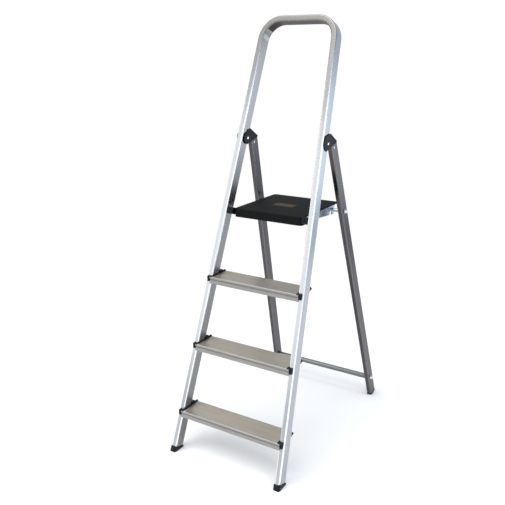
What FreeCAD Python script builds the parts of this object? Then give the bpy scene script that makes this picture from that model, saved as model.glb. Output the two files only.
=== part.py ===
"""Aluminium platform step ladder: three treads, a hinged platform and a folding rear frame.

Millimetres and degrees. +Z is up, the user climbs facing +Y, and +X is on their right. The origin
is on the floor under the middle of the open ladder. Right-hand pieces are built, and left-hand
pieces are their mirror images in the plane X = 0.
"""
import FreeCAD, Part
import math
import os

import Sketcher

Vec = FreeCAD.Vector
Turn = FreeCAD.Rotation
Place = FreeCAD.Placement

# ------------------------------------------------------------------ driving dimensions
DIMENSIONS = {
    # stance
    "origin_back": 394.55,       # from the stiles' front foot line back to the origin
    "front_lean": 19.14,         # front frame from the vertical
    "rear_lean": 16.25,          # rear legs from the vertical
    "rear_reach": 751.95,        # foot line back to the front faces of the rear legs
    # front frame, one bent rectangular tube
    "foot_half": 224.0,          # half the outside width at the floor
    "stile_taper": 2.79,         # inward tilt of each stile
    "stile_wide": 20.0,
    "stile_deep": 43.2,
    "tube_wall": 1.4,
    "tube_corner": 4.0,
    "frame_long": 1572.5,        # along the lean, floor to the top of the hand rail
    "bend": 72.0,                # radius of the tube's centre line
    "plug_gap": 0.2,             # between a tube's inside and the plug in it
    "tube_lift": 4.0,            # tube end above the floor, inside its foot
    # rear legs, straight rectangular tubes
    "leg_half": 229.5,
    "leg_taper": 3.165,
    "leg_wide": 19.1,
    "leg_deep": 39.65,
    "leg_bottom": 6.0,
    "leg_top": 1106.5,
    # hinge between the two frames
    "hinge_along": 1127.0,       # pivot along the leg
    "hinge_ahead": 31.0,         # pivot ahead of the leg's front face
    "hinge_pin": 3.5,
    "hinge_head": 5.0,
    "hinge_lobe": 27.5,          # outer cheek
    "inner_lobe": 22.0,          # inner cheek
    "hinge_bush": 6.0,
    "cheek_in": 146.2,           # inner faces of the cheeks, from the mid-plane
    "cheek_out": 169.6,
    "cheek_thick": 2.0,
    "running_gap": 0.05,         # radial clearance of each turning pin
    # treads
    "tread_first": 147.65,       # height of the lowest tread's top
    "tread_pitch": 230.0,
    "tread_nose": 10.5,           # nose ahead of the stiles' front faces
    "tread_deep": 88,
    "tread_tall": 25.0,
    "tread_rear": 20.0,
    "sheet_thick": 1.8,
    "groove_count": 14,
    "groove_wide": 1.6,
    "groove_deep": 0.6,
    "groove_pitch": 5.2,
    "nose_groove_pitch": 2.6,
    "end_wall": 3.0,             # plastic between a tread's end and the stile
    "nose_deep": 6.9,            # part of the nose that laps over the stile
    "nose_slope": 0.228,         # how fast the lapped part thins downwards
    "nose_lap": 5.5,
    "wing_tall": 17.0,
    "wing_lap": 14.5,            # plastic wing over the stile's front face
    "wing_back": 10.5,           # plastic fin behind the stile
    "rim_rise": 2.5,
    # platform
    "deck_height": 841.0,
    "deck_half": 135.0,
    "deck_front": 298.0,
    "deck_rear": 579.0,
    "deck_thick": 5.0,
    "deck_corner": 14.0,
    "skirt_tall": 30.0,
    "skirt_thick": 3.0,
    "skirt_side": 345.0,         # where the skirt's side walls end
    "rear_skirt": 14.0,
    "deck_round": 3.0,           # rounding of the deck's upper edges
    "rib_thick": 2.5,
    "rib_tall": 12.0,
    "pivot_back": 315.0,
    "pivot_high": 828.0,
    "pivot_pin": 4.0,
    "arm_out": 131.0,            # outer face of each steel arm
    "arm_thick": 3.0,
    "arm_rear": 553.0,
    "arm_flange": 16.0,          # width of the flange that carries the deck
    "block_face": 136.2,         # face of the pivot block beside the platform
    "block_low": 872.0,
    "block_high": 895.0,
    "block_wide": 30.0,          # before it is trimmed to the stile
    "block_round": 4.0,
    # cross members of the rear frame
    "rest_back": 531.0,
    "rest_high": 820.0,
    "rest_tube": 7.0,
    "bar_along": 83.5,
    "bar_behind": 15.0,
    "bar_tube": 10.0,
    "tie_rod": 4.0,
    "nut_flange": 8.0,
    "nut_body": 6.8,
}

doc = FreeCAD.newDocument("platform_step_ladder")
sheet = doc.addObject("Spreadsheet::Sheet", "Params")
for row, (alias, size) in enumerate(DIMENSIONS.items(), start=1):
    sheet.set(f"A{row}", alias)
    sheet.set(f"B{row}", str(size))
    sheet.setAlias(f"B{row}", alias)
doc.recompute()
formula_cell = doc.addObject("App::FeaturePython", "Formula")
formula_cell.addProperty("App::PropertyFloat", "Answer")

# Half widths across the ladder, as formulas of the distance along a stile or a rear leg.
STILE_INSIDE = "(foot_half - stile_wide / cos(stile_taper) - tan(stile_taper) * ({along}))"
LEG_OUTSIDE = "(leg_half - tan(leg_taper) * ({along}))"
LEG_INSIDE = "(leg_half - leg_wide / cos(leg_taper) - tan(leg_taper) * ({along}))"

# The hinge pivot, measured in the leaning frame of the stiles.
PIVOT_BACK = "(rear_reach - hinge_along * sin(rear_lean) - hinge_ahead * cos(rear_lean))"
PIVOT_UP = "(hinge_along * cos(rear_lean) - hinge_ahead * sin(rear_lean))"
HINGE_BEHIND = f"({PIVOT_BACK} * cos(front_lean) - {PIVOT_UP} * sin(front_lean))"
HINGE_UP = f"({PIVOT_BACK} * sin(front_lean) + {PIVOT_UP} * cos(front_lean))"


def linked(formula):
    """Write the sheet's name before each alias in a formula."""
    words = []
    word = ""
    for letter in str(formula) + " ":
        if letter.isalnum() or letter == "_":
            word += letter
            continue
        words.append("Params." + word if word in DIMENSIONS else word)
        words.append(letter)
        word = ""
    return "".join(words).strip()


def number(formula):
    """The present value of a formula in the sheet's aliases, angles in degrees."""
    formula_cell.setExpression("Answer", linked(formula))
    formula_cell.recompute()
    return formula_cell.Answer


def bind(thing, **formulas):
    """Tie properties to the sheet; a double underscore stands for a dot in the name."""
    for name, formula in formulas.items():
        thing.setExpression(name.replace("__", "."), linked(formula))


# ------------------------------------------------------------------ local frames
# In the leaning frames X stays across the ladder, Y runs back through the tube and Z runs along it.
foot_line = Place(Vec(0, -number("origin_back"), 0), Turn())
lean_frame = Place(foot_line.Base, Turn(Vec(1, 0, 0), -number("front_lean")))
leg_frame = Place(Vec(0, number("rear_reach - origin_back"), 0), Turn(Vec(1, 0, 0), number("rear_lean")))
# In the tapered frames the tube's outer face is X = 0 and the tube lies towards -X.
right_stile = lean_frame * Place(Vec(number("foot_half"), 0, 0), Turn(Vec(0, 1, 0), -number("stile_taper")))
right_leg = leg_frame * Place(Vec(number("leg_half"), 0, 0), Turn(Vec(0, 1, 0), -number("leg_taper")))


# ------------------------------------------------------------------ ways of making a piece
def new_body(name, frame):
    body = doc.addObject("PartDesign::Body", name)
    body.Placement = frame
    return body


def new_sketch(body, plane, offset=0):
    """A sketch on one of the body's own planes: XY looks up, YZ looks along +X."""
    sketch = body.newObject("Sketcher::SketchObject", "Outline")
    origin_plane = [o for o in body.Origin.OriginFeatures if o.Role == plane + "_Plane"][0]
    sketch.AttachmentSupport = [(origin_plane, "")]
    sketch.MapMode = "FlatFace"
    bind(sketch, AttachmentOffset__Base__z=offset)
    return sketch


def pin_point(sketch, geometry, end, across, up):
    """Hold one point of a sketch at two formulas from the sketch's origin."""
    for kind, formula in (("DistanceX", across), ("DistanceY", up)):
        index = sketch.addConstraint(Sketcher.Constraint(kind, -1, 1, geometry, end, number(formula)))
        sketch.setExpression(f"Constraints[{index}]", linked(formula))


def draw_outline(sketch, corners):
    """A closed outline of straight lines through corners given as pairs of formulas."""
    first = sketch.GeometryCount
    points = [Vec(number(across), number(up), 0) for across, up in corners]
    count = len(points)
    for i in range(count):
        sketch.addGeometry(Part.LineSegment(points[i], points[(i + 1) % count]), False)
    for i in range(count):
        sketch.addConstraint(Sketcher.Constraint("Coincident", first + i, 2, first + (i + 1) % count, 1))
    for i, (across, up) in enumerate(corners):
        pin_point(sketch, first + i, 1, across, up)


def draw_circle(sketch, across, up, radius):
    centre = Vec(number(across), number(up), 0)
    index = sketch.addGeometry(Part.Circle(centre, Vec(0, 0, 1), number(radius)), False)
    pin_point(sketch, index, 3, across, up)
    rule = sketch.addConstraint(Sketcher.Constraint("Radius", index, number(radius)))
    sketch.setExpression(f"Constraints[{rule}]", linked(radius))


def draw_rounded(sketch, left, low, right, high, corner):
    """A rectangle between four formulas with its corners rounded to one radius."""
    first = sketch.GeometryCount
    x0, y0, x1, y1, r = [number(f) for f in (left, low, right, high, corner)]
    centres = [(f"({right}) - ({corner})", f"({high}) - ({corner})"),
               (f"({left}) + ({corner})", f"({high}) - ({corner})"),
               (f"({left}) + ({corner})", f"({low}) + ({corner})"),
               (f"({right}) - ({corner})", f"({low}) + ({corner})")]
    sides = [(x1 - r, y1, x0 + r, y1), (x0, y1 - r, x0, y0 + r),
             (x0 + r, y0, x1 - r, y0), (x1, y0 + r, x1, y1 - r)]
    for quarter, (across, up) in enumerate(centres):
        circle = Part.Circle(Vec(number(across), number(up), 0), Vec(0, 0, 1), r)
        start = quarter * math.pi / 2
        sketch.addGeometry(Part.ArcOfCircle(circle, start, start + math.pi / 2), False)
        ax, ay, bx, by = sides[quarter]
        sketch.addGeometry(Part.LineSegment(Vec(ax, ay, 0), Vec(bx, by, 0)), False)
    for quarter, (across, up) in enumerate(centres):
        arc = first + 2 * quarter
        following = first + 2 * ((quarter + 1) % 4)
        sketch.addConstraint(Sketcher.Constraint("Tangent", arc, 2, arc + 1, 1))
        sketch.addConstraint(Sketcher.Constraint("Tangent", arc + 1, 2, following, 1))
        pin_point(sketch, arc, 3, across, up)
        rule = sketch.addConstraint(Sketcher.Constraint("Radius", arc, r))
        sketch.setExpression(f"Constraints[{rule}]", linked(corner))


def pad(body, sketch, length, middle=False):
    feature = body.newObject("PartDesign::Pad", "Pad")
    feature.Profile = (sketch, [""])
    feature.Midplane = middle
    bind(feature, Length=length)
    return feature


def cut_through(body, sketch):
    """Cut the sketch's outline right through the body, both ways from the sketch."""
    feature = body.newObject("PartDesign::Pocket", "Cut")
    feature.Profile = (sketch, [""])
    feature.Type = "ThroughAll"
    feature.Midplane = True
    return feature


def cut_depth(body, sketch, depth, back=False):
    feature = body.newObject("PartDesign::Pocket", "Recess")
    feature.Profile = (sketch, [""])
    feature.Reversed = back
    bind(feature, Length=depth)
    return feature


def repeat(body, feature, axis, pitch, count):
    """Repeat a feature along one of the body's own axes."""
    pattern = body.newObject("PartDesign::LinearPattern", "Row")
    pattern.Originals = [feature]
    line = [o for o in body.Origin.OriginFeatures if o.Role == axis + "_Axis"][0]
    pattern.Direction = (line, [""])
    pattern.Mode = "Spacing"
    pattern.Occurrences = int(number(count))
    bind(pattern, Offset=pitch)
    body.Tip = pattern
    return pattern


def mirror_in_body(body, features):
    mirrored = body.newObject("PartDesign::Mirrored", "Mirrored")
    mirrored.Originals = features
    plane = [o for o in body.Origin.OriginFeatures if o.Role == "YZ_Plane"][0]
    mirrored.MirrorPlane = (plane, [""])
    body.Tip = mirrored
    return mirrored


def turned(name, frame, profile):
    """A lathe-turned piece on the frame's X axis: the profile is (along, radius) formulas."""
    body = new_body(name, frame)
    sketch = new_sketch(body, "XY")
    draw_outline(sketch, profile)
    feature = body.newObject("PartDesign::Revolution", "Turning")
    feature.Profile = (sketch, [""])
    axis = [o for o in body.Origin.OriginFeatures if o.Role == "X_Axis"][0]
    feature.ReferenceAxis = (axis, [""])
    feature.Angle = 360.0
    return body


def box(name, frame, low, high):
    """A plain block between two corners given as triples of formulas."""
    block = doc.addObject("Part::Box", name)
    for side, a, b in zip(("Length", "Width", "Height"), low, high):
        block.setExpression(side, linked(f"({b}) - ({a})"))
    block.Placement = frame * Place(Vec(*[number(a) for a in low]), Turn())
    return block


def fused(name, shapes):
    joined = doc.addObject("Part::MultiFuse", name)
    joined.Shapes = shapes
    return joined


def cut(name, base, tool):
    left = doc.addObject("Part::Cut", name)
    left.Base = base
    left.Tool = tool
    return left


def common(name, base, tool):
    shared = doc.addObject("Part::Common", name)
    shared.Base = base
    shared.Tool = tool
    return shared


def rounded(name, base, direction, radius):
    """Round every edge of a block that runs along a direction."""
    doc.recompute()
    fillet = doc.addObject("Part::Fillet", name)
    fillet.Base = base
    picked = []
    for index, edge in enumerate(base.Shape.Edges, start=1):
        if edge.Curve.TypeId != "Part::GeomLine":
            continue
        along = edge.tangentAt(edge.FirstParameter)
        if abs(abs(along.dot(direction)) - 1) < 1e-6:
            picked.append((index, number(radius), number(radius)))
    fillet.Edges = picked
    return fillet


def mirrored(name, source):
    other = doc.addObject("Part::Mirroring", name)
    other.Source = source
    other.Normal = Vec(1, 0, 0)
    return other


NODES = []


def node(name, piece):
    """Name a finished piece as a sub-part of the ladder."""
    piece.Label = name
    NODES.append(piece)
    return piece


def node_pair(stem, right_piece):
    """A right-hand piece and its mirror image."""
    node(stem + "_right", right_piece)
    node(stem + "_left", mirrored(stem.title().replace("_", "") + "Left", right_piece))


def node_group(name, pieces):
    """Identical fasteners kept together as one node of separate solids."""
    group = doc.addObject("Part::Compound", name.title().replace("_", ""))
    group.Links = pieces
    node(name, group)


# ------------------------------------------------------------------ envelopes used to trim plastic
above_floor = box("AboveFloor", foot_line, ("-300", "-60", "0"), ("300", "1000", "1600"))
above_tube_end = box("AboveTubeEnd", foot_line, ("-300", "-60", "tube_lift"), ("300", "200", "1600"))
stile_space = box("StileSpace", right_stile, ("-stile_wide", "0", "-40"), ("0", "stile_deep", "1450"))


# ------------------------------------------------------------------ front frame
def make_front_frame():
    """Both stiles and the hand rail are one extruded tube, bent twice and mitred at the floor."""
    body = new_body("FrontFrame", lean_frame)
    path = new_sketch(body, "XZ")
    top = "frame_long - stile_wide / 2"
    bend_up = f"({top}) - bend"
    centre_half = "foot_half - stile_wide / 2 / cos(stile_taper)"
    bend_in = f"({centre_half}) - tan(stile_taper) * ({bend_up}) - bend / cos(stile_taper)"
    turn_in = f"({bend_in}) + bend * cos(stile_taper)"
    turn_up = f"({bend_up}) + bend * sin(stile_taper)"
    foot_up = "-10"
    foot_in = f"({centre_half}) - tan(stile_taper) * ({foot_up})"
    rail = path.addGeometry(Part.LineSegment(Vec(0, number(top), 0), Vec(number(bend_in), number(top), 0)))
    curve = Part.Circle(Vec(number(bend_in), number(bend_up), 0), Vec(0, 0, 1), number("bend"))
    corner = path.addGeometry(Part.ArcOfCircle(curve, math.radians(number("stile_taper")), math.pi / 2))
    side = path.addGeometry(Part.LineSegment(Vec(number(turn_in), number(turn_up), 0),
                                             Vec(number(foot_in), number(foot_up), 0)))
    path.addConstraint(Sketcher.Constraint("Coincident", rail, 2, corner, 2))
    path.addConstraint(Sketcher.Constraint("Tangent", corner, 1, side, 1))
    pin_point(path, rail, 1, "0", top)
    pin_point(path, rail, 2, bend_in, top)
    pin_point(path, corner, 3, bend_in, bend_up)
    pin_point(path, side, 2, foot_in, foot_up)
    section = new_sketch(body, "YZ")
    draw_rounded(section, "0", "frame_long - stile_wide", "stile_deep", "frame_long", "tube_corner")
    draw_rounded(section, "tube_wall", "frame_long - stile_wide + tube_wall", "stile_deep - tube_wall",
                 "frame_long - tube_wall", "tube_corner - tube_wall")
    half = body.newObject("PartDesign::AdditivePipe", "Tube")
    half.Profile = (section, [""])
    half.Spine = (path, [""])
    mirror_in_body(body, [half])
    bores = new_sketch(body, "YZ")
    draw_circle(bores, HINGE_BEHIND, HINGE_UP, "hinge_bush")
    cut_through(body, bores)
    mitre = new_sketch(body, "YZ")
    low = "tube_lift / cos(front_lean)"
    draw_outline(mitre, [("-60", f"({low}) - 60 * tan(front_lean)"),
                         ("120", f"({low}) + 120 * tan(front_lean)"), ("120", "-80"), ("-60", "-80")])
    cut_through(body, mitre)
    return body


node("front_frame", make_front_frame())

# Nylon bushes line the hinge holes of both stiles and space the cheeks from the tube.
hinge_line = lean_frame * Place(Vec(0, number(HINGE_BEHIND), number(HINGE_UP)), Turn())
bush_bore = "hinge_pin + running_gap"
bush = turned("HingeBush", hinge_line, [
    ("cheek_in + 0.4", bush_bore), ("cheek_in + 0.4", "hinge_bush"), ("cheek_out - 0.4", "hinge_bush"),
    ("cheek_out - 0.4", bush_bore)])
node_pair("hinge_bush", bush)


# ------------------------------------------------------------------ treads
TREADS = (1, 2, 3)


def tread_height(index):
    return f"(tread_first + {index - 1} * tread_pitch)"


def tread_gap(index):
    """Half the clear width between the stiles at a tread's top, as a formula."""
    return STILE_INSIDE.format(along=f"{tread_height(index)} / cos(front_lean)")


def tread_frame(index):
    """Y is zero at the tread's nose and Z is zero at its top."""
    back = number(f"{tread_height(index)} * tan(front_lean) - tread_nose - origin_back")
    return Place(Vec(0, back, number(tread_height(index))), Turn())


def make_tread(index):
    """An aluminium extrusion with a ribbed deck, a stiff nose and a turned-in rear lip."""
    body = new_body(f"Tread{index}", tread_frame(index))
    section = new_sketch(body, "YZ")
    lip_up = "sheet_thick - tread_rear"
    foot_up = "sheet_thick - tread_tall"
    rear_in = "tread_deep - sheet_thick"
    draw_outline(section, [
        ("0", "-0.8"), ("0.8", "0"), ("tread_deep", "0"), ("tread_deep", "-tread_rear"),
        ("tread_deep - 10", "-tread_rear"), ("tread_deep - 10", lip_up), (rear_in, lip_up),
        (rear_in, "-sheet_thick"), ("60 + sheet_thick", "-sheet_thick"), ("60 + sheet_thick", "-14"),
        ("60", "-14"), ("60", "-sheet_thick"), ("4.3", "-sheet_thick"), ("4.3", foot_up), ("13", foot_up),
        ("13", "-tread_tall"), ("0.6", "-tread_tall"), ("0.6", "-tread_tall / 2"),
        ("2.6", "0.6 - tread_tall / 2"), ("2.6", "-7"), ("0", "-6")])
    pad(body, section, f"2 * ({tread_gap(index)} + nose_lap)", middle=True)
    groove = new_sketch(body, "YZ")
    draw_outline(groove, [("9", "1"), ("9 + groove_wide", "1"), ("9 + groove_wide", "-groove_deep"),
                          ("9", "-groove_deep")])
    repeat(body, cut_through(body, groove), "Y", "groove_pitch", "groove_count")
    nose_groove = new_sketch(body, "YZ")
    first_low = "-tread_tall + 1.4"
    first_high = "-tread_tall + 2.4"
    draw_outline(nose_groove, [("-1", first_low), ("1.1", first_low), ("1.1", first_high),
                               ("-1", first_high)])
    repeat(body, cut_through(body, nose_groove), "Z", "nose_groove_pitch", "4")
    end = f"({tread_gap(index)} - end_wall)"
    for offset, back in ((end, True), (f"-{end}", False)):
        notch = new_sketch(body, "YZ", offset)
        draw_outline(notch, [("nose_deep + nose_slope * 2", "2"), ("nose_deep", "0"),
                             ("nose_deep - nose_slope * (tread_tall + 3)", "-tread_tall - 3"),
                             ("tread_deep + 5", "-tread_tall - 3"), ("tread_deep + 5", "2")])
        cut_depth(body, notch, "nose_lap + end_wall + 5", back=back)
    return body


def make_bracket(index, screws):
    """The moulded end of a tread: a wall on the stile, a wing before it and a fin behind it."""
    frame = tread_frame(index)
    gap = tread_gap(index)
    end = f"({gap} - end_wall)"
    body = new_body(f"Bracket{index}", frame)
    wall = new_sketch(body, "YZ", end)
    draw_outline(wall, [
        ("-0.6", "-tread_tall"), ("-0.6", "0"), ("2", "rim_rise"), ("56.7", "rim_rise"), ("59.1", "8"),
        ("67.7", "8.5"), ("73.7", "3.2"), ("81.7", "2.2"), ("84.7", "4.5"), ("89.7", "4"), ("91", "-1"),
        ("89.7", "-18"), ("81.7", "-22"), ("61.7", "-24")])
    pad(body, wall, "end_wall + 1.5")
    wing = new_sketch(body, "YZ", end)
    draw_outline(wing, [("-0.6", "-wing_tall"), ("-0.6", "0"), ("2", "rim_rise"), ("16", "rim_rise"),
                        ("16", "-wing_tall - 3")])
    pad(body, wing, "end_wall + wing_lap")
    fin = new_sketch(body, "YZ", end)
    draw_outline(fin, [("51.7", "-9"), ("51.7", "9"), ("59.1", "9"), ("70.7", "9"), ("80.4", "4"),
                       ("88.2", "-5.5"), ("76.7", "-8"), ("69.7", "-10")])
    pad(body, fin, "end_wall + wing_back")
    slope = frame * Place(Vec(0, number("nose_deep"), 0), Turn(Vec(1, 0, 0), -number("atan(nose_slope)")))
    nose_wedge = box(f"NoseWedge{index}", slope, ("0", "-20", "-40"), (f"{gap} + nose_lap", "0", "10"))
    below_top = box(f"BelowTop{index}", frame, ("0", "-20", "-40"), (f"{gap} + nose_lap", "20", "0"))
    nose_space = common(f"NoseSpace{index}", nose_wedge, below_top)
    tools = fused(f"BracketTools{index}", [stile_space, nose_space] + screws)
    return cut(f"BracketTrimmed{index}", body, tools)


def make_screw(name, frame, head_at, tip_at, radius="2", head="4", tall="2.4"):
    """A pan-head screw on the frame's X axis, from the outside of its head to its tip."""
    return turned(name, frame, [(head_at, "0"), (head_at, f"{head} - 1"), (f"{head_at} + 0.8", head),
                                (f"{head_at} + {tall}", head), (f"{head_at} + {tall}", radius),
                                (f"{tip_at} - 1.5", radius), (tip_at, "0")])


tread_screws = []
for index in TREADS:
    node(f"tread_{index}", make_tread(index))
    end = f"({tread_gap(index)} - end_wall)"
    right_screws = []
    for place, back in enumerate(("20", "42")):
        frame = tread_frame(index) * Place(Vec(0, number(back), -11), Turn())
        right_screws.append(make_screw(f"TreadScrew{index}{place}", frame, f"{end} - 2.4", f"{end} + 9"))
    bracket = make_bracket(index, right_screws)
    node_pair(f"tread_bracket_{index}", bracket)
    tread_screws += right_screws
    tread_screws += [mirrored(f"{screw.Name}Left", screw) for screw in right_screws]
node_group("tread_screws", tread_screws)


# ------------------------------------------------------------------ feet
PLUG_CORNER = "tube_corner - tube_wall + 0.4"


def make_front_foot():
    """A moulded cup round the mitred end of the stile, with a spigot inside the tube."""
    wall = "2.2"
    outer = box("FrontFootBlock", right_stile, (f"-stile_wide - {wall}", f"-{wall}", "-25"),
                (wall, f"stile_deep + {wall}", "20"))
    along = right_stile.Rotation.multVec(Vec(0, 0, 1))
    shell = common("FrontFootShell", rounded("FrontFootRound", outer, along, "5"), above_floor)
    tube_room = common("FrontTubeRoom", stile_space, above_tube_end)
    cup = cut("FrontFootCup", shell, tube_room)
    spigot_block = box("FrontSpigotBlock", right_stile,
                       ("plug_gap + tube_wall - stile_wide", "plug_gap + tube_wall", "-25"),
                       ("-tube_wall - plug_gap", "stile_deep - tube_wall - plug_gap", "45"))
    low_limit = box("SpigotFloor", foot_line, ("-300", "-60", "tube_lift - 1"), ("300", "200", "300"))
    spigot = common("FrontSpigot", rounded("FrontSpigotRound", spigot_block, along, PLUG_CORNER), low_limit)
    return fused("FrontFoot", [cup, spigot])


def make_rear_foot():
    """A plug in the end of the rear leg whose flange has a small flat sole."""
    lip = "0.4"
    flange = box("RearFootFlange", right_leg, (f"-leg_wide - {lip}", f"-{lip}", "-2.6"),
                 (lip, f"leg_deep + {lip}", "leg_bottom"))
    along = right_leg.Rotation.multVec(Vec(0, 0, 1))
    sole = common("RearFootSole", rounded("RearFootRound", flange, along, "4"), above_floor)
    spigot = box("RearSpigot", right_leg,
                 ("plug_gap + tube_wall - leg_wide", "plug_gap + tube_wall", "leg_bottom - 1"),
                 ("-tube_wall - plug_gap", "leg_deep - tube_wall - plug_gap", "42"))
    return fused("RearFoot", [sole, rounded("RearSpigotRound", spigot, along, PLUG_CORNER)])


node_pair("front_foot", make_front_foot())
node_pair("rear_foot", make_rear_foot())


# ------------------------------------------------------------------ rear legs and cross members
rest_line = foot_line * Place(Vec(0, number("rest_back"), number("rest_high")), Turn())
bar_line = leg_frame * Place(Vec(0, number("bar_behind"), number("bar_along")), Turn())
REST_ALONG = "(rest_high * cos(rear_lean) - (rest_back - rear_reach) * sin(rear_lean))"


def make_tie_rod(name, frame, along):
    """A rod from cap nut to cap nut, right through both legs and the tube between them."""
    tip = f"{LEG_OUTSIDE.format(along=along)} + 6.4"
    return turned(name, frame, [(f"-({tip})", "0"), (f"-({tip})", "tie_rod"), (tip, "tie_rod"), (tip, "0")])


def make_spacer(name, frame, along, radius, wall):
    """The tube between the legs that the tie rod clamps."""
    end = f"({LEG_INSIDE.format(along=along)} - tan(leg_taper) * ({radius}))"
    return turned(name, frame, [(f"-{end}", f"{radius} - {wall}"), (f"-{end}", radius), (end, radius),
                                (end, f"{radius} - {wall}")])


def make_cap_nut(name, frame, along):
    face = f"({LEG_OUTSIDE.format(along=along)} + 0.45)"
    return turned(name, frame, [
        (face, "tie_rod"), (face, "nut_flange"), (f"{face} + 1.4", "nut_flange"),
        (f"{face} + 1.9", "nut_body"), (f"{face} + 6", "nut_body"), (f"{face} + 8.6", "nut_body - 2.2"),
        (f"{face} + 9.6", "nut_body - 5"),
        (f"{face} + 9.8", "0"), (f"{face} + 6.2", "0"), (f"{face} + 6.2", "tie_rod")])


def make_rear_leg(tools):
    """A straight tube with holes for both tie rods and for the rivet of its hinge bracket."""
    body = new_body("RearLegTube", right_leg)
    section = new_sketch(body, "XY", "leg_bottom")
    draw_rounded(section, "-leg_wide", "0", "0", "leg_deep", "tube_corner")
    draw_rounded(section, "tube_wall - leg_wide", "tube_wall", "-tube_wall", "leg_deep - tube_wall",
                 "tube_corner - tube_wall")
    pad(body, section, "leg_top - leg_bottom")
    return cut("RearLeg", body, tools)


rivet_line = right_leg * Place(Vec(0, 13.2, number("leg_top - 10.8")), Turn())
leg_rivet = turned("LegRivet", rivet_line, [
    ("-leg_wide - 1.4", "0"), ("-leg_wide - 1.4", "3"), ("-leg_wide - 0.7", "4.5"), ("-leg_wide", "4.5"),
    ("-leg_wide", "2.4"), ("0", "2.4"), ("0", "4.5"), ("0.7", "4.5"), ("1.4", "3"), ("1.4", "0")])
bar_rod = make_tie_rod("CrossbarRod", bar_line, "bar_along")
rest_rod = make_tie_rod("RestRod", rest_line, REST_ALONG)
leg_tools = fused("LegHoles", [leg_rivet, bar_rod, rest_rod])
node_pair("rear_leg", make_rear_leg(leg_tools))
node("crossbar", make_spacer("Crossbar", bar_line, "bar_along", "bar_tube", "1.5"))
node("crossbar_rod", bar_rod)
node_pair("crossbar_nut", make_cap_nut("CrossbarNut", bar_line, "bar_along"))
node("platform_rest_tube", make_spacer("RestTube", rest_line, REST_ALONG, "rest_tube", "1.5"))
node("platform_rest_rod", rest_rod)
node_pair("platform_rest_nut", make_cap_nut("RestNut", rest_line, REST_ALONG))


# ------------------------------------------------------------------ hinge of the rear frame
def make_hinge_bracket(pin):
    """A moulding plugged into the leg: two cheeks hold the stile, and a web joins them behind it."""
    body = new_body("HingeMoulding", leg_frame)
    web = new_sketch(body, "YZ", "cheek_in - 0.5")
    ahead = "-hinge_ahead"
    draw_outline(web, [(f"{ahead} + 11.4", "leg_top"), (f"{ahead} + 11.4", "hinge_along - 3.6"),
                       (f"{ahead} + 29.6", "hinge_along + 22.1"), ("33", "hinge_along - 16"),
                       ("33", "leg_top")])
    pad(body, web, "cheek_out - cheek_in + 1")
    for start, radius in (("cheek_in - cheek_thick", "inner_lobe"), ("cheek_out", "hinge_lobe")):
        lobe = new_sketch(body, "YZ", start)
        draw_circle(lobe, ahead, "hinge_along", radius)
        pad(body, lobe, "cheek_thick")
        cheek = new_sketch(body, "YZ", start)
        draw_outline(cheek, [("33", "leg_top"), ("33", "hinge_along - 16"), ("-4", "hinge_along + 25"),
                             (f"{ahead} + 8", "hinge_along + 26.8"), (ahead, "hinge_along"),
                             (ahead, "leg_top")])
        pad(body, cheek, "cheek_thick")
    trim = new_sketch(body, "YZ")
    draw_outline(trim, [("-90", "leg_top"), ("60", "leg_top"), ("60", "leg_top - 60"),
                        ("-90", "leg_top - 60")])
    cut_through(body, trim)
    for start, back in (("cheek_out + cheek_thick", False), ("cheek_in - cheek_thick", True)):
        panel = new_sketch(body, "YZ", start)
        draw_outline(panel, [("-1", "leg_top + 3.5"), ("28.5", "leg_top + 3.5"),
                             ("28.5", "hinge_along - 15.5"), ("-1", "hinge_along + 17")])
        cut_depth(body, panel, "1.1", back=back)
    spigot = box("HingeSpigot", right_leg,
                 ("plug_gap + tube_wall - leg_wide", "plug_gap + tube_wall", "leg_top - 26"),
                 ("-tube_wall - plug_gap", "33", "leg_top + 2"))
    along = right_leg.Rotation.multVec(Vec(0, 0, 1))
    round_spigot = rounded("HingeSpigotRound", spigot, along, PLUG_CORNER)
    whole = fused("HingeSolid", [body, round_spigot])
    return cut("HingeBracket", whole, fused("HingeHoles", [pin, leg_rivet]))


pin_start = "cheek_in - cheek_thick"
pin_end = "(cheek_out + cheek_thick)"
hinge_pin = turned("HingePin", hinge_line, [
    (f"{pin_start} - 1.8", "0"), (f"{pin_start} - 1.8", "hinge_head - 1.4"),
    (f"{pin_start} - 0.9", "hinge_head"), (pin_start, "hinge_head"), (pin_start, "hinge_pin"),
    (pin_end, "hinge_pin"), (pin_end, "hinge_head"),
    (f"{pin_end} + 0.9", "hinge_head"), (f"{pin_end} + 1.8", "hinge_head - 1.4"), (f"{pin_end} + 1.8", "0")])
node_pair("hinge_bracket", make_hinge_bracket(hinge_pin))
node_pair("hinge_pin", hinge_pin)
node_pair("leg_rivet", leg_rivet)


# ------------------------------------------------------------------ platform
pivot_line = foot_line * Place(Vec(0, number("pivot_back"), number("pivot_high")), Turn())


RIBS_END = "(rest_back - 16)"


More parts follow.
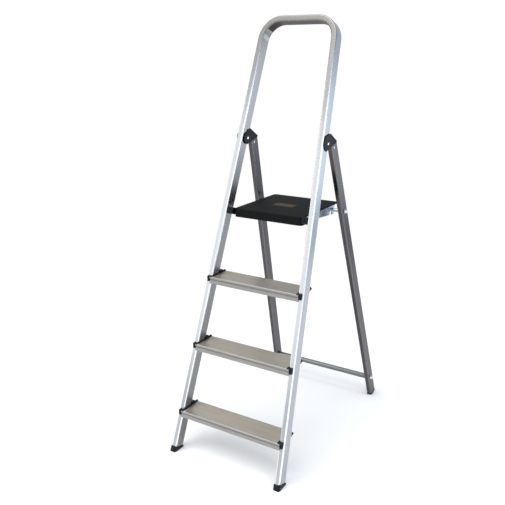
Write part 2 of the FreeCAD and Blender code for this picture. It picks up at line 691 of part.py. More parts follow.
def make_platform():
    """A moulded deck with a deep front skirt, a shallow rear skirt and ribs underneath."""
    body = new_body("Platform", foot_line)
    plate = new_sketch(body, "XY", "deck_height - deck_thick")
    draw_rounded(plate, "-deck_half", "deck_front", "deck_half", "deck_rear", "deck_corner")
    pad(body, plate, "deck_thick")
    skirt_low = "deck_height - skirt_tall"
    skirt = new_sketch(body, "XY", skirt_low)
    draw_rounded(skirt, "-deck_half", "deck_front", "deck_half", "skirt_side", "deck_corner")
    draw_rounded(skirt, "skirt_thick - deck_half", "deck_front + skirt_thick", "deck_half - skirt_thick",
                 "skirt_side - 0.4", "deck_corner - skirt_thick")
    pad(body, skirt, "skirt_tall - deck_thick")
    open_back = new_sketch(body, "XY", skirt_low)
    inner = "(deck_half - skirt_thick)"
    draw_outline(open_back, [(f"-{inner}", "skirt_side - 30"), (inner, "skirt_side - 30"),
                             (inner, "skirt_side + 5"), (f"-{inner}", "skirt_side + 5")])
    cut_depth(body, open_back, "skirt_tall - deck_thick", back=True)
    rear = new_sketch(body, "XY", "deck_height - rear_skirt")
    draw_outline(rear, [("deck_corner - deck_half", "deck_rear - skirt_thick"),
                        ("deck_half - deck_corner", "deck_rear - skirt_thick"),
                        ("deck_half - deck_corner", "deck_rear"), ("deck_corner - deck_half", "deck_rear")])
    pad(body, rear, "rear_skirt - 1")
    for across in ("-90", "-45", "0", "45", "90"):
        rib = new_sketch(body, "XY", "deck_height - deck_thick - rib_tall")
        left = f"{across} - rib_thick / 2"
        right = f"{across} + rib_thick / 2"
        near = "deck_front + 1"
        draw_outline(rib, [(left, near), (right, near), (right, RIBS_END), (left, RIBS_END)])
        pad(body, rib, "rib_tall + 1")
    for back in ("370", "440", f"{RIBS_END} - 2"):
        rib = new_sketch(body, "XY", "deck_height - deck_thick - rib_tall + 2")
        near = f"{back} - rib_thick / 2"
        far = f"{back} + rib_thick / 2"
        draw_outline(rib, [("-108", near), ("108", near), ("108", far), ("-108", far)])
        pad(body, rib, "rib_tall - 1")
    pin_hole = new_sketch(body, "YZ")
    draw_circle(pin_hole, "pivot_back", "pivot_high", "pivot_pin + 0.1")
    sides = body.newObject("PartDesign::Pocket", "PinHoles")
    sides.Profile = (pin_hole, [""])
    sides.Type = "ThroughAll"
    sides.Midplane = True
    doc.recompute()
    top_edges = []
    high = number("deck_height")
    for index, edge in enumerate(body.Shape.Edges, start=1):
        if edge.BoundBox.ZMin > high - 0.01:
            top_edges.append(f"Edge{index}")
    fillet = body.newObject("PartDesign::Fillet", "TopRound")
    fillet.Base = (sides, top_edges)
    bind(fillet, Radius="deck_round")
    return body


def make_arm(tools):
    """A pressed steel angle: its web hooks over the rest tube and its flange carries the deck."""
    body = new_body("PlatformArm", foot_line)
    under = "(deck_height - deck_thick)"
    web = new_sketch(body, "YZ", "arm_out - arm_thick")
    draw_outline(web, [("308", under), ("arm_rear - 3", under), ("arm_rear", f"{under} - 3"),
                       ("arm_rear", "808"), ("arm_rear - 7", "800.4"), ("324", "819.5"), ("308", "819.5")])
    pad(body, web, "arm_thick")
    flange = new_sketch(body, "YZ", "arm_out - arm_thick - arm_flange")
    flange_low = f"{under} - 2.5"
    draw_outline(flange, [("335", under), ("505", under), ("505", flange_low), ("335", flange_low)])
    pad(body, flange, "arm_flange + 1")
    slot = new_sketch(body, "YZ")
    seat = "(rest_tube + 0.3)"
    draw_outline(slot, [(f"rest_back + {seat} * 0.907", f"rest_high - {seat} * 0.422"),
                        (f"rest_back - {seat} * 0.907", f"rest_high + {seat} * 0.422"),
                        (f"rest_back - {seat} * 0.907 - 15.5", "rest_high - 24"),
                        (f"rest_back + {seat} * 0.907 - 9.8", "rest_high - 24")])
    cut_through(body, slot)
    bed = new_sketch(body, "YZ")
    draw_circle(bed, "rest_back", "rest_high", seat)
    cut_through(body, bed)
    return cut("PlatformArmDrilled", body, tools)


def make_pivot_block(pin_room, screws):
    """A moulded block screwed to the inside of the stile; the platform's pin turns in it."""
    low = ("block_face", "2.4", "block_low")
    high = ("block_face + block_wide", "stile_deep - 2.2", "block_high")
    block = box("PivotBlockBlank", lean_frame, low, high)
    round_block = rounded("PivotBlockRound", block, Vec(1, 0, 0), "block_round")
    return cut("PivotBlock", round_block, fused("PivotBlockTools", [stile_space, pin_room] + screws))


pivot_pin = turned("PivotPin", pivot_line, [
    ("arm_out - arm_thick - 3.4", "0"), ("arm_out - arm_thick - 3.4", "5.5"),
    ("arm_out - arm_thick - 2.6", "6.5"), ("arm_out - arm_thick", "6.5"), ("arm_out - arm_thick", "pivot_pin"),
    ("block_face + 17", "pivot_pin"),
    ("block_face + 18", "pivot_pin - 1"), ("block_face + 18", "0")])
pin_room = turned("PivotPinRoom", pivot_line, [
    ("block_face - 2", "0"), ("block_face - 2", "pivot_pin + running_gap"),
    ("block_face + 19", "pivot_pin + running_gap"), ("block_face + 19", "0")])
deck_screws = []
flange_middle = number("arm_out - arm_thick - arm_flange / 2")
screw_low = number("deck_height - deck_thick - 4.9")
for back in (355, 420, 485):
    frame = foot_line * Place(Vec(flange_middle, back, screw_low), Turn(Vec(0, 1, 0), -90))
    deck_screws.append(make_screw(f"DeckScrew{back}", frame, "0", "8.4", radius="1.8", head="3.6"))
node("platform", make_platform())
node_pair("platform_arm", make_arm(fused("ArmTools", deck_screws + [pivot_pin])))
node_group("platform_screws", deck_screws + [mirrored(f"{screw.Name}Left", screw) for screw in deck_screws])
node_pair("platform_pin", pivot_pin)

block_screws = []
counterbores = []
for place, (behind, along) in enumerate(((9.5, "block_low + 6"), (35, "block_high - 6"))):
    frame = lean_frame * Place(Vec(0, behind, number(along)), Turn())
    block_screws.append(make_screw(f"BlockScrew{place}", frame, "block_face + 4", "block_face + 28"))
    counterbores.append(turned(f"Counterbore{place}", frame, [
        ("block_face - 2", "0"), ("block_face - 2", "4"), ("block_face + 5", "4"), ("block_face + 5", "0")]))
node_pair("pivot_block", make_pivot_block(pin_room, block_screws + counterbores))
left_block_screws = [mirrored(f"{screw.Name}Left", screw) for screw in block_screws]
node_group("pivot_block_screws", block_screws + left_block_screws)


# ------------------------------------------------------------------ check and export
doc.recompute()
for thing in doc.Objects:
    if "Invalid" in thing.State or "Error" in thing.State:
        raise RuntimeError(f"{thing.Name} ({thing.Label}) did not build: {thing.State}")
os.makedirs("parts", exist_ok=True)
for piece in NODES:
    shape = piece.Shape
    if shape.isNull() or not shape.isValid() or not shape.Solids:
        raise RuntimeError(f"{piece.Label} has no valid solid")
for piece in NODES:
    piece.Shape.exportStep(f"parts/{piece.Label}.step")
    bounds = piece.Shape.BoundBox
    print(f"{piece.Label}: {len(piece.Shape.Solids)} solid(s), {piece.Shape.Volume:.0f} mm3, "
          f"x {bounds.XMin:.1f}..{bounds.XMax:.1f}, y {bounds.YMin:.1f}..{bounds.YMax:.1f}, "
          f"z {bounds.ZMin:.1f}..{bounds.ZMax:.1f}")
print(f"{len(NODES)} sub-parts")
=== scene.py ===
"""A folding aluminium step ladder with three treads, a black platform and a hand rail loop.
Metres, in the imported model's own frame: the user climbs facing +Y and +X is on their right."""
import math

import bmesh
import bpy
from mathutils import Matrix, Vector


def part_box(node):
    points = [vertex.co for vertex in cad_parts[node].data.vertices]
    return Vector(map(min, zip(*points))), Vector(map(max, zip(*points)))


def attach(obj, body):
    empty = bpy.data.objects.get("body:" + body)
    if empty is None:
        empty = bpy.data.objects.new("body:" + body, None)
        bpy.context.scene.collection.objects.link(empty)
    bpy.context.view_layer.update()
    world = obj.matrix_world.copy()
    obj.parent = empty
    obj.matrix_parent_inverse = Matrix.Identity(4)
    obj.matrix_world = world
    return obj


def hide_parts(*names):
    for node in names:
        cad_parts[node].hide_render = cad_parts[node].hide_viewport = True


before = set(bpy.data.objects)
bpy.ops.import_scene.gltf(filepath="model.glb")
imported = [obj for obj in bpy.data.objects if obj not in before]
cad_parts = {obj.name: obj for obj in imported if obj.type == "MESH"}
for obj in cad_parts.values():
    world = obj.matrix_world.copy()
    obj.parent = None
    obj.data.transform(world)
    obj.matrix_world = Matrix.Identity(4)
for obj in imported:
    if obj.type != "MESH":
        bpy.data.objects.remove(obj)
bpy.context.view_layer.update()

MM = 0.001
FRONT = "front_frame_body"
REAR = "rear_frame_body"
PLATFORM = "platform_body"
SIDES = ("right", "left")


# ---------------------------------------------------------------- front frame
# Both stiles and the hand rail are one extruded aluminium tube with rounded corners, bent twice.
# It is made here as a closed tube without its bores, and faint streaks run along it.
FOOT_LINE = -394.55 * MM
FRONT_LEAN = math.radians(19.14)
STILE_TAPER = math.radians(2.79)
STILE_WIDE = 20 * MM
STILE_DEEP = 43.2 * MM
FOOT_HALF = 224 * MM
FRAME_LONG = 1572.5 * MM
BEND = 72 * MM
TUBE_CORNER = 4 * MM
TUBE_LIFT = 4 * MM
BEND_STEPS = 28
CORNER_STEPS = 6
FOOT_OVERRUN = 60 * MM            # the stile is drawn past the floor, then cut off level
RAIL_BOTTOM = 1.3                 # height above which a face that looks down is the rail's underside


def streaked_metal(name, colour, roughness, grain, drawn_out, lean=0.0, contrast=0.07):
    """Bare metal whose streaks are drawn out along an axis that leans back from the vertical."""
    material = bpy.data.materials.new(name)
    material.use_nodes = True
    nodes = material.node_tree.nodes
    links = material.node_tree.links
    shader = nodes["Principled BSDF"]
    shader.inputs["Metallic"].default_value = 1.0
    place = nodes.new("ShaderNodeTexCoord")
    turn = nodes.new("ShaderNodeMapping")
    turn.vector_type = "TEXTURE"
    turn.inputs["Rotation"].default_value = (-lean, 0.0, 0.0)
    turn.inputs["Scale"].default_value = drawn_out
    links.new(place.outputs["Object"], turn.inputs["Vector"])
    streaks = nodes.new("ShaderNodeTexNoise")
    streaks.inputs["Scale"].default_value = grain
    streaks.inputs["Detail"].default_value = 1.0
    links.new(turn.outputs["Vector"], streaks.inputs["Vector"])
    tint = nodes.new("ShaderNodeValToRGB")
    dark = [channel * (1 - contrast) for channel in colour]
    light = [min(1.0, channel * (1 + contrast)) for channel in colour]
    tint.color_ramp.elements[0].position = 0.3
    tint.color_ramp.elements[0].color = (*dark, 1.0)
    tint.color_ramp.elements[1].position = 0.7
    tint.color_ramp.elements[1].color = (*light, 1.0)
    links.new(streaks.outputs["Fac"], tint.inputs["Fac"])
    links.new(tint.outputs["Color"], shader.inputs["Base Color"])
    rough = nodes.new("ShaderNodeMapRange")
    rough.inputs["To Min"].default_value = roughness - 0.01
    rough.inputs["To Max"].default_value = roughness + 0.01
    links.new(streaks.outputs["Fac"], rough.inputs["Value"])
    links.new(rough.outputs["Result"], shader.inputs["Roughness"])
    return material


def painted_warm_reflection(material, low, high, colour, amount):
    """Mixes a warmer tone into a metal between two heights, as a painted reflection."""
    nodes = material.node_tree.nodes
    links = material.node_tree.links
    shader = nodes["Principled BSDF"]
    own = shader.inputs["Base Color"].links[0].from_socket
    place = nodes.new("ShaderNodeTexCoord")
    split = nodes.new("ShaderNodeSeparateXYZ")
    links.new(place.outputs["Object"], split.inputs["Vector"])
    fade = nodes.new("ShaderNodeMapRange")
    fade.inputs["From Min"].default_value = low
    fade.inputs["From Max"].default_value = high
    fade.inputs["To Max"].default_value = amount
    links.new(split.outputs["Z"], fade.inputs["Value"])
    mix = nodes.new("ShaderNodeMix")
    mix.data_type = "RGBA"
    colours = [socket for socket in mix.inputs if socket.type == "RGBA"]
    colours[1].default_value = (*colour, 1.0)
    links.new(fade.outputs["Result"], mix.inputs["Factor"])
    links.new(own, colours[0])
    mixed = [socket for socket in mix.outputs if socket.type == "RGBA"][0]
    links.new(mixed, shader.inputs["Base Color"])


def tube_ring(work, wide, deep):
    """The outline of a rectangular tube with rounded corners, flat in XY round the origin."""
    bmesh.ops.create_grid(work, x_segments=1, y_segments=1, size=0.5)
    bmesh.ops.scale(work, vec=(wide, deep, 1.0), verts=work.verts)
    bmesh.ops.bevel(work, geom=work.verts, offset=TUBE_CORNER, segments=CORNER_STEPS, affect="VERTICES",
                    profile=0.5, material=-1)
    bmesh.ops.delete(work, geom=work.faces, context="FACES_ONLY")
    return work.edges[:]


def draw_out(work, ring, move):
    """Extrudes a ring of edges by a vector and gives the new ring."""
    made = bmesh.ops.extrude_edge_only(work, edges=ring)["geom"]
    bmesh.ops.translate(work, vec=move, verts=[part for part in made if isinstance(part, bmesh.types.BMVert)])
    return [part for part in made if isinstance(part, bmesh.types.BMEdge)
            and all(len(vert.link_faces) <= 2 for vert in part.verts) and len(part.link_faces) == 1]


def finished(work, name, material, body, nodes):
    """Turns a bmesh into a smooth piece that stands for CAD nodes and moves with their body."""
    bmesh.ops.recalc_face_normals(work, faces=work.faces)
    for face in work.faces:
        face.smooth = True
    mesh = bpy.data.meshes.new(name)
    work.to_mesh(mesh)
    work.free()
    mesh.materials.append(material)
    piece = bpy.data.objects.new(name, mesh)
    bpy.context.scene.collection.objects.link(piece)
    even = piece.modifiers.new("even normals", "WEIGHTED_NORMAL")
    even.keep_sharp = True
    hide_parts(*nodes)
    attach(piece, body)
    return piece


rail_up = FRAME_LONG - STILE_WIDE / 2
bend_up = rail_up - BEND
centre_half = FOOT_HALF - STILE_WIDE / 2 / math.cos(STILE_TAPER)
bend_in = centre_half - math.tan(STILE_TAPER) * bend_up - BEND / math.cos(STILE_TAPER)
frame_tube = bmesh.new()
ring = tube_ring(frame_tube, STILE_WIDE, STILE_DEEP)
across = Matrix.Rotation(math.pi / 2, 3, "Y")
bmesh.ops.rotate(frame_tube, cent=(0, 0, 0), matrix=across, verts=frame_tube.verts)
bmesh.ops.translate(frame_tube, vec=(0, STILE_DEEP / 2, rail_up), verts=frame_tube.verts)
ring = draw_out(frame_tube, ring, (bend_in, 0, 0))
curve = bmesh.ops.spin(frame_tube, geom=ring, cent=(bend_in, 0, bend_up), axis=(0, 1, 0),
                       angle=math.pi / 2 - STILE_TAPER, steps=BEND_STEPS, use_merge=False)
ring = [part for part in curve["geom_last"] if isinstance(part, bmesh.types.BMEdge)]
stile_run = (bend_up + FOOT_OVERRUN) / math.cos(STILE_TAPER)
draw_out(frame_tube, ring, (stile_run * math.sin(STILE_TAPER), 0, -stile_run * math.cos(STILE_TAPER)))
whole = frame_tube.verts[:] + frame_tube.edges[:] + frame_tube.faces[:]
bmesh.ops.mirror(frame_tube, geom=whole, axis="X", merge_dist=0.01 * MM)
stand = Matrix.Translation((0, FOOT_LINE, 0)) @ Matrix.Rotation(-FRONT_LEAN, 4, "X")
bmesh.ops.transform(frame_tube, matrix=stand, verts=frame_tube.verts)
whole = frame_tube.verts[:] + frame_tube.edges[:] + frame_tube.faces[:]
bmesh.ops.bisect_plane(frame_tube, geom=whole, plane_co=(0, 0, TUBE_LIFT), plane_no=(0, 0, 1),
                       clear_inner=True)
bmesh.ops.holes_fill(frame_tube, edges=[edge for edge in frame_tube.edges if edge.is_boundary], sides=0)
ALONG = (1.0, 1.0, 60.0)
stile_metal = streaked_metal("mill finish stile", (0.46, 0.485, 0.51), 0.27, 150.0, ALONG, FRONT_LEAN, 0.03)
# Above about 1.12 m the rail and its bends get a darker, warmer painted reflection, on the faces and on the
# corners.
painted_warm_reflection(stile_metal, 1.12, 1.46, (0.225, 0.217, 0.205), 1.0)
corner_highlight_metal = streaked_metal("stile corners painted highlight", (0.92, 0.94, 0.96), 0.28, 150.0, ALONG, FRONT_LEAN, 0.02)
painted_warm_reflection(corner_highlight_metal, 1.15, 1.42, (0.25, 0.24, 0.225), 1.0)
inner_shade_metal = streaked_metal("stile inner faces painted shade", (0.275, 0.27, 0.275), 0.27, 150.0, ALONG, FRONT_LEAN, 0.03)
outer_shade_metal = streaked_metal("stile outer faces painted shade", (0.43, 0.455, 0.49), 0.27, 150.0, ALONG, FRONT_LEAN, 0.03)
underside_shade_metal = streaked_metal("rail underside painted shade", (0.042, 0.034, 0.032), 0.35, 150.0, ALONG, FRONT_LEAN, 0.03)
bent_tube = finished(frame_tube, "bent_frame_tube", stile_metal, FRONT, ["front_frame"])

# The real tube is one bare metal. Its faces are toned apart here as painted light: a painted highlight
# on the corners, painted shade on the sides, deeper inside than outside, and darkest on the rail's underside.
for metal in (corner_highlight_metal, inner_shade_metal, outer_shade_metal, underside_shade_metal):
    bent_tube.data.materials.append(metal)
SIDEWAYS = 0.1                    # a face whose normal has less than this along Y is a side
FRONTWARD = 0.995                 # and one with more than this is a front or a back
LOOKS_DOWN = -0.6


def is_corner(facing):
    """Whether a normal, turned upright, belongs to a tube's rounded corner."""
    return SIDEWAYS < abs(facing.y) < FRONTWARD


upright_again = Matrix.Rotation(FRONT_LEAN, 3, "X")
# Corner faces get the painted highlight, side faces painted shade, and the rail's underside the darkest
# painted shade.
for face in bent_tube.data.polygons:
    facing = upright_again @ face.normal
    if is_corner(facing):
        face.material_index = 1
    elif abs(facing.y) <= SIDEWAYS and facing.z < LOOKS_DOWN and face.center.z > RAIL_BOTTOM:
        face.material_index = 4
    elif abs(facing.y) <= SIDEWAYS:
        face.material_index = 2 if facing.x * face.center.x < 0 else 3


# ---------------------------------------------------------------- treads
# Each tread is an aluminium extrusion, so its streaks, its ribs and the channel in its nose all run
# across the ladder. The nose is given painted shade, darker than the top, and its channel a deeper painted
# shade.
NOSE_REACH = 5 * MM
CHANNEL_DEPTH = 1.8 * MM
tread_metal = streaked_metal("brushed tread", (0.54, 0.505, 0.45), 0.36, 300.0, (60.0, 1.0, 1.0))
nose_shade_metal = streaked_metal("tread nose painted shade", (0.35, 0.342, 0.325), 0.36, 300.0, (60.0, 1.0, 1.0))
channel_shade_metal = streaked_metal("nose channel painted shade", (0.24, 0.238, 0.235), 0.4, 300.0, (60.0, 1.0, 1.0))
for index in (1, 2, 3):
    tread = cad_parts[f"tread_{index}"]
    tread.data.materials.clear()
    tread.data.materials.append(tread_metal)
    tread.data.materials.append(nose_shade_metal)
    tread.data.materials.append(channel_shade_metal)
    nose_front = min(vert.co.y for vert in tread.data.vertices)
    # Faces on the nose get painted shade, and faces deep in its channel a darker painted shade.
    for face in tread.data.polygons:
        if face.normal.y < -0.5 and face.center.y < nose_front + NOSE_REACH:
            face.material_index = 2 if face.center.y > nose_front + CHANNEL_DEPTH else 1


# ---------------------------------------------------------------- tread ends
# Black plastic mouldings, taken as nylon, close the ends of the treads and clip round the stiles. A
# moulded edge is never sharp, so each is rounded. Bright pan-head screws hold them.
def moulded(name, colour, roughness, grain=900.0, depth=0.04 * MM, shine=0.2):
    """Moulded plastic with a fine pebbled surface."""
    material = bpy.data.materials.new(name)
    material.use_nodes = True
    nodes = material.node_tree.nodes
    links = material.node_tree.links
    shader = nodes["Principled BSDF"]
    shader.inputs["Base Color"].default_value = (*colour, 1.0)
    shader.inputs["Roughness"].default_value = roughness
    shader.inputs["Specular IOR Level"].default_value = shine
    place = nodes.new("ShaderNodeTexCoord")
    pebbles = nodes.new("ShaderNodeTexNoise")
    pebbles.inputs["Scale"].default_value = grain
    pebbles.inputs["Detail"].default_value = 2.0
    links.new(place.outputs["Object"], pebbles.inputs["Vector"])
    bump = nodes.new("ShaderNodeBump")
    bump.inputs["Distance"].default_value = depth
    links.new(pebbles.outputs["Fac"], bump.inputs["Height"])
    links.new(bump.outputs["Normal"], shader.inputs["Normal"])
    return material


def copied(node, suffix, body, material, edge_round=0.0):
    """A piece from a CAD node's merged mesh, smooth across its curves, with its edges rounded."""
    work = bmesh.new()
    work.from_mesh(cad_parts[node].data)
    bmesh.ops.remove_doubles(work, verts=work.verts, dist=0.01 * MM)
    if edge_round:
        bmesh.ops.dissolve_limit(work, angle_limit=math.radians(1.0), verts=work.verts, edges=work.edges)
    for face in work.faces:
        face.smooth = True
    for edge in work.edges:
        if len(edge.link_faces) == 2 and edge.calc_face_angle() > math.radians(30.0):
            edge.smooth = False
    mesh = bpy.data.meshes.new(f"{node}_{suffix}")
    work.to_mesh(mesh)
    work.free()
    mesh.materials.append(material)
    piece = bpy.data.objects.new(f"{node}_{suffix}", mesh)
    bpy.context.scene.collection.objects.link(piece)
    if edge_round:
        soften = piece.modifiers.new("rounded edges", "BEVEL")
        soften.width = edge_round
        soften.segments = 2
        soften.limit_method = "ANGLE"
        soften.angle_limit = math.radians(35.0)
        soften.harden_normals = True
    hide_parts(node)
    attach(piece, body)
    return piece


black = moulded("black nylon", (0.005, 0.0065, 0.011), 0.4, 900.0, 0.04 * MM, 0.12)
bright = streaked_metal("bright zinc", (0.70, 0.71, 0.73), 0.18, 40.0, (1.0, 1.0, 1.0), 0.0, 0.03)
for side in SIDES:
    for index in (1, 2, 3):
        copied(f"tread_bracket_{index}_{side}", "moulding", FRONT, black, 0.6 * MM)
copied("tread_screws", "bright", FRONT, bright)


# ---------------------------------------------------------------- front feet
# A dark rubbery cup is pushed over the mitred end of each stile.
rubber = moulded("foot rubber", (0.005, 0.006, 0.010), 0.45)
for side in SIDES:
    copied(f"front_foot_{side}", "cup", FRONT, rubber, 0.8 * MM)


# ---------------------------------------------------------------- platform pivot blocks
# Small mouldings screwed to the inside of the stiles carry the platform's pins.
for side in SIDES:
    copied(f"pivot_block_{side}", "moulding", FRONT, black, 0.5 * MM)
copied("pivot_block_screws", "bright", FRONT, bright)


# ---------------------------------------------------------------- rear legs
# Straight extruded tubes, leaning forwards to the hinge, with a plug and sole at the floor. They
# are closed here, without bores. They are coloured much darker than bare aluminium as painted shade,
# with a painted highlight on their corners.
REAR_LEAN = math.radians(16.25)
LEG_TAPER = math.radians(3.165)
REAR_REACH = 751.95 * MM
LEG_HALF = 229.5 * MM
LEG_WIDE = 19.1 * MM
LEG_DEEP = 39.65 * MM
LEG_BOTTOM = 6 * MM
LEG_TOP = 1106.5 * MM
leg_shade_metal = streaked_metal("mill finish leg painted shade", (0.085, 0.078, 0.079), 0.25, 150.0, ALONG, -REAR_LEAN, 0.05)
leg_corner_highlight = streaked_metal("leg corners painted highlight", (0.17, 0.165, 0.175), 0.28, 150.0, ALONG, -REAR_LEAN, 0.03)
for side, hand in zip(SIDES, (1, -1)):
    leg_tube = bmesh.new()
    ring = tube_ring(leg_tube, LEG_WIDE, LEG_DEEP)
    bmesh.ops.translate(leg_tube, vec=(-LEG_WIDE / 2, LEG_DEEP / 2, LEG_BOTTOM), verts=leg_tube.verts)
    draw_out(leg_tube, ring, (0, 0, LEG_TOP - LEG_BOTTOM))
    bmesh.ops.holes_fill(leg_tube, edges=[edge for edge in leg_tube.edges if edge.is_boundary], sides=0)
    lean = Matrix.Translation((0, REAR_REACH + FOOT_LINE, 0)) @ Matrix.Rotation(REAR_LEAN, 4, "X")
    splay = Matrix.Translation((LEG_HALF, 0, 0)) @ Matrix.Rotation(-LEG_TAPER, 4, "Y")
    bmesh.ops.transform(leg_tube, matrix=lean @ splay, verts=leg_tube.verts)
    bmesh.ops.scale(leg_tube, vec=(hand, 1, 1), verts=leg_tube.verts)
    leg = finished(leg_tube, f"rear_leg_tube_{side}", leg_shade_metal, REAR, [f"rear_leg_{side}"])
    leg.data.materials.append(leg_corner_highlight)
    # Corner faces get the painted highlight.
    for face in leg.data.polygons:
        if is_corner(lean.to_3x3().inverted() @ face.normal):
            face.material_index = 1
    copied(f"rear_foot_{side}", "plug", REAR, rubber, 0.5 * MM)


# ---------------------------------------------------------------- hinges
# A black moulding plugged into each leg holds the stile between two cheeks. A bright pin turns in
# the nylon bush of the stile, and a rivet fixes the plug in the leg.
nylon = moulded("natural nylon", (0.75, 0.73, 0.68), 0.45)
for side in SIDES:
    copied(f"hinge_bracket_{side}", "moulding", REAR, black, 0.6 * MM)
    copied(f"hinge_pin_{side}", "bright", REAR, bright)
    copied(f"leg_rivet_{side}", "bright", REAR, bright)
    copied(f"hinge_bush_{side}", "nylon", FRONT, nylon)


# ---------------------------------------------------------------- cross members
# A tie rod runs through both legs at each height, inside a spacer tube, and a domed cap nut
# closes each end. The lower tube is dull, the upper one, which the platform rests on, is zinc.
satin = streaked_metal("satin steel", (0.18, 0.185, 0.19), 0.3, 200.0, (40.0, 1.0, 1.0))
zinc = streaked_metal("zinc plate", (0.45, 0.50, 0.56), 0.28, 40.0, (1.0, 1.0, 1.0), 0.0, 0.06)
copied("crossbar", "tube", REAR, satin)
copied("platform_rest_tube", "zinc", REAR, zinc)
for stem in ("crossbar", "platform_rest"):
    copied(f"{stem}_rod", "bright", REAR, bright)
    for side in SIDES:
        copied(f"{stem}_nut_{side}", "bright", REAR, bright)


# ---------------------------------------------------------------- platform
# The deck is one polypropylene moulding with a finely grained top, carried by two zinc-plated
# steel arms that hook over the upper cross tube.
deck_black = moulded("platform polypropylene", (0.0065, 0.0068, 0.0068), 0.68, 600.0, 0.08 * MM, 0.08)
copied("platform", "deck", PLATFORM, deck_black, 0.6 * MM)
for side in SIDES:
    copied(f"platform_arm_{side}", "zinc", PLATFORM, zinc, 0.3 * MM)
    copied(f"platform_pin_{side}", "bright", PLATFORM, bright)
copied("platform_screws", "bright", PLATFORM, bright)

# A thin blank brown label lies flat in the middle of the deck.
LABEL_SUNK = 0.15 * MM
LABEL_OFF_CENTRE = (-6 * MM, -8 * MM)
LABEL_HALF = (40 * MM, 20 * MM)
LABEL_THICK = 0.4 * MM
LABEL_CORNER = 3 * MM
deck_low, deck_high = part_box("platform")
label_shape = bmesh.new()
bmesh.ops.create_cube(label_shape, size=2.0)
bmesh.ops.scale(label_shape, vec=(*LABEL_HALF, LABEL_THICK / 2), verts=label_shape.verts)
upright = [edge for edge in label_shape.edges if edge.verts[0].co.z * edge.verts[1].co.z < 0.0]
bmesh.ops.bevel(label_shape, geom=upright, offset=LABEL_CORNER, segments=4, affect="EDGES", profile=0.5,
                material=-1)
label_middle = Vector((LABEL_OFF_CENTRE[0], (deck_low.y + deck_high.y) / 2 + LABEL_OFF_CENTRE[1],
                       deck_high.z - LABEL_SUNK))
bmesh.ops.translate(label_shape, vec=label_middle, verts=label_shape.verts)
label_mesh = bpy.data.meshes.new("deck_label")
label_shape.to_mesh(label_mesh)
label_shape.free()
label_mesh.materials.append(moulded("blank label", (0.062, 0.046, 0.032), 0.7, 400.0, 0.04 * MM, 0.08))
label = bpy.data.objects.new("deck_label", label_mesh)
bpy.context.scene.collection.objects.link(label)
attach(label, PLATFORM)


# ---------------------------------------------------------------- studio
# A pale round floor in white air, a broad soft sun from the left and soft panels. The air that the
# metal mirrors is warm on the left and cool on the right.
def panel(name, place, aim, size, power, colour):
    light = bpy.data.lights.new(name, "AREA")
    light.shape = "RECTANGLE"
    light.size = size[0]
    light.size_y = size[1]
    light.energy = power
    light.color = colour
    lamp = bpy.data.objects.new(name, light)
    direction = Vector(aim) - Vector(place)
    lamp.matrix_world = Matrix.Translation(place) @ direction.to_track_quat("-Z", "Y").to_matrix().to_4x4()
    bpy.context.scene.collection.objects.link(lamp)


panel("overhead", (0.3, -0.6, 3.6), (0.0, 0.0, 0.7), (3.0, 3.0), 40.0, (1.0, 0.98, 0.95))
panel("front left", (-1.95, -3.4, 1.7), (0.0, -0.1, 0.7), (2.2, 2.6), 20.0, (1.0, 0.99, 0.97))
panel("right front", (3.3, -2.0, 1.9), (0.0, 0.0, 0.8), (3.0, 2.4), 38.0, (1.0, 1.0, 1.0))
panel("rear right", (2.1, 2.6, 0.8), (0.0, 0.0, 0.8), (1.2, 1.0), 7.0, (0.86, 0.94, 1.0))

sun = bpy.data.lights.new("soft sun", "SUN")
sun.energy = 1.3
sun.angle = math.radians(50.0)
sun_lamp = bpy.data.objects.new("soft sun", sun)
sun_lamp.matrix_world = Vector((0.35, 0.5, -1.0)).to_track_quat("-Z", "Y").to_matrix().to_4x4()
bpy.context.scene.collection.objects.link(sun_lamp)

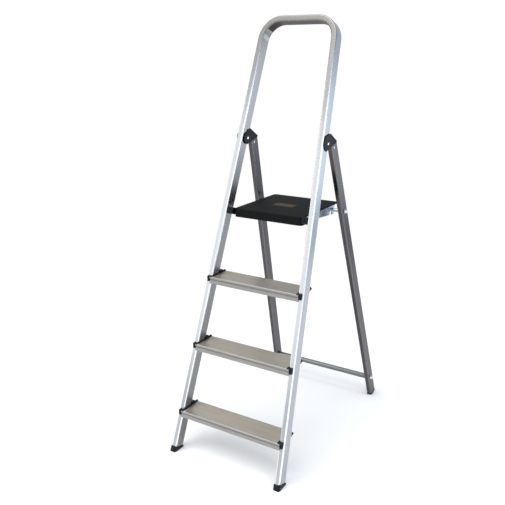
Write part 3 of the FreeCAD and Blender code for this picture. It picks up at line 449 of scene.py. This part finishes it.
world = bpy.data.worlds.new("studio air")
world.use_nodes = True
air = world.node_tree.nodes
air_links = world.node_tree.links
around = air.new("ShaderNodeTexCoord")
split = air.new("ShaderNodeSeparateXYZ")
air_links.new(around.outputs["Generated"], split.inputs["Vector"])
spread = air.new("ShaderNodeMapRange")
spread.inputs["From Min"].default_value = -1.0
air_links.new(split.outputs["X"], spread.inputs["Value"])
tone = air.new("ShaderNodeValToRGB")
tone.color_ramp.elements[0].position = 0.0
tone.color_ramp.elements[0].color = (0.84, 0.81, 0.76, 1.0)
tone.color_ramp.elements[1].position = 0.62
tone.color_ramp.elements[1].color = (0.82, 0.90, 1.02, 1.0)
air_links.new(spread.outputs["Result"], tone.inputs["Fac"])
mirrored_air = air["Background"]
air_links.new(tone.outputs["Color"], mirrored_air.inputs["Color"])
mirrored_air.inputs["Strength"].default_value = 0.8
white_air = air.new("ShaderNodeBackground")
white_air.inputs["Color"].default_value = (1.0, 1.0, 1.0, 1.0)
seen = air.new("ShaderNodeLightPath")
either = air.new("ShaderNodeMixShader")
air_links.new(seen.outputs["Is Camera Ray"], either.inputs[0])
air_links.new(mirrored_air.outputs[0], either.inputs[1])
air_links.new(white_air.outputs[0], either.inputs[2])
air_links.new(either.outputs[0], air["World Output"].inputs["Surface"])
bpy.context.scene.world = world

FLOOR_RADIUS = 2.6
ground = bmesh.new()
bmesh.ops.create_circle(ground, cap_ends=True, segments=128, radius=FLOOR_RADIUS)
ground_mesh = bpy.data.meshes.new("floor")
ground.to_mesh(ground_mesh)
ground.free()
paper = bpy.data.materials.new("white floor")
paper.use_nodes = True
paper.node_tree.nodes["Principled BSDF"].inputs["Base Color"].default_value = (0.88, 0.88, 0.88, 1.0)
paper.node_tree.nodes["Principled BSDF"].inputs["Roughness"].default_value = 1.0
ground_mesh.materials.append(paper)
floor = bpy.data.objects.new("floor", ground_mesh)
bpy.context.scene.collection.objects.link(floor)

# The camera stands ahead of the ladder on the user's right, a little above its middle.
CAMERA_PLACE = (1.157075, -2.009739, 1.380395)
CAMERA_HEADING = math.radians(32.44)
CAMERA_TILT = math.radians(90.0 - 16.94)
CAMERA_ROLL = -0.0078
lens = bpy.data.cameras.new("camera")
lens.lens = 48.02
lens.sensor_width = 36.0
camera = bpy.data.objects.new("camera", lens)
camera.matrix_world = (Matrix.Translation(CAMERA_PLACE) @ Matrix.Rotation(CAMERA_HEADING, 4, "Z")
                       @ Matrix.Rotation(CAMERA_TILT, 4, "X") @ Matrix.Rotation(CAMERA_ROLL, 4, "Z"))
bpy.context.scene.collection.objects.link(camera)
bpy.context.scene.camera = camera
bpy.context.scene.view_settings.view_transform = "Standard"
